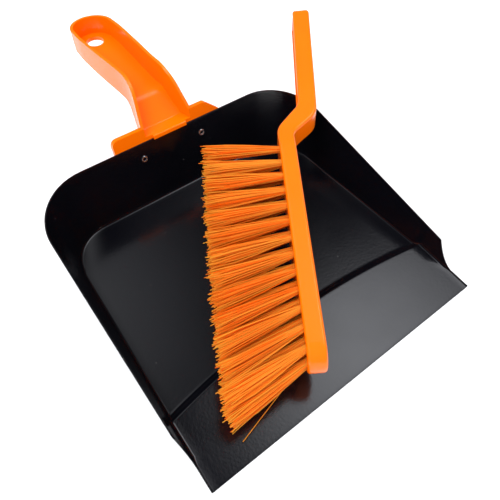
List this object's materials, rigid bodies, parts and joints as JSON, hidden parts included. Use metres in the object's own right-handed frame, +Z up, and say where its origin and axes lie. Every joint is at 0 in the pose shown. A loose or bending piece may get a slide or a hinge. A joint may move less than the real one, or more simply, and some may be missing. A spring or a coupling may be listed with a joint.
{
  "type": "dust pan and brush set",
  "caption": "Pressed steel dust pan with a riveted plastic channel handle, and a cranked plastic hand brush lying in it.",
  "frame": {"origin": "on the ground, on the underside of the flat part of the pan's floor, at the middle of the pan's width", "axes": "+Z up; +Y from the pan's lip towards its handle; +X across the pan, to the right when seen from the lip"},
  "size_m": [0.2829, 0.349, 0.089],
  "materials": {
    "black_enamel": "semi-gloss black enamel over pressed sheet steel",
    "orange_plastic": "smooth moulded polypropylene",
    "orange_bristle": "extruded filament",
    "zinc_steel": "bright zinc plating"
  },
  "bodies": {
    "pan": {"pan_handle": "orange_plastic", "pan_shell": "black_enamel", "rivet_left": "zinc_steel", "rivet_right": "zinc_steel", "rivet_washer_left": "zinc_steel", "rivet_washer_right": "zinc_steel"},
    "brush": {"anchor_staples_lower_rows": "zinc_steel", "anchor_staples_upper_rows": "zinc_steel", "brush_body": "orange_plastic", "tuft_row1_01": "orange_bristle", "tuft_row1_02": "orange_bristle", "tuft_row1_03": "orange_bristle", "tuft_row1_04": "orange_bristle", "tuft_row1_05": "orange_bristle", "tuft_row1_06": "orange_bristle", "tuft_row1_07": "orange_bristle", "tuft_row1_08": "orange_bristle", "tuft_row1_09": "orange_bristle", "tuft_row1_10": "orange_bristle", "tuft_row1_11": "orange_bristle", "tuft_row1_12": "orange_bristle", "tuft_row1_13": "orange_bristle", "tuft_row2_01": "orange_bristle", "tuft_row2_02": "orange_bristle", "tuft_row2_03": "orange_bristle", "tuft_row2_04": "orange_bristle", "tuft_row2_05": "orange_bristle", "tuft_row2_06": "orange_bristle", "tuft_row2_07": "orange_bristle", "tuft_row2_08": "orange_bristle", "tuft_row2_09": "orange_bristle", "tuft_row2_10": "orange_bristle", "tuft_row2_11": "orange_bristle", "tuft_row2_12": "orange_bristle", "tuft_row3_01": "orange_bristle", "tuft_row3_02": "orange_bristle", "tuft_row3_03": "orange_bristle", "tuft_row3_04": "orange_bristle", "tuft_row3_05": "orange_bristle", "tuft_row3_06": "orange_bristle", "tuft_row3_07": "orange_bristle", "tuft_row3_08": "orange_bristle", "tuft_row3_09": "orange_bristle", "tuft_row3_10": "orange_bristle", "tuft_row3_11": "orange_bristle", "tuft_row3_12": "orange_bristle", "tuft_row4_01": "orange_bristle", "tuft_row4_02": "orange_bristle", "tuft_row4_03": "orange_bristle", "tuft_row4_04": "orange_bristle", "tuft_row4_05": "orange_bristle", "tuft_row4_06": "orange_bristle", "tuft_row4_07": "orange_bristle", "tuft_row4_08": "orange_bristle", "tuft_row4_09": "orange_bristle", "tuft_row4_10": "orange_bristle", "tuft_row4_11": "orange_bristle", "tuft_row4_12": "orange_bristle", "tuft_row4_13": "orange_bristle"}
  },
  "joints": [
    {"name": "brush_lift", "type": "slide", "parent": "pan", "child": "brush", "axis": [0, 0, 1], "range_m": [0, 0.25]}
  ]
}
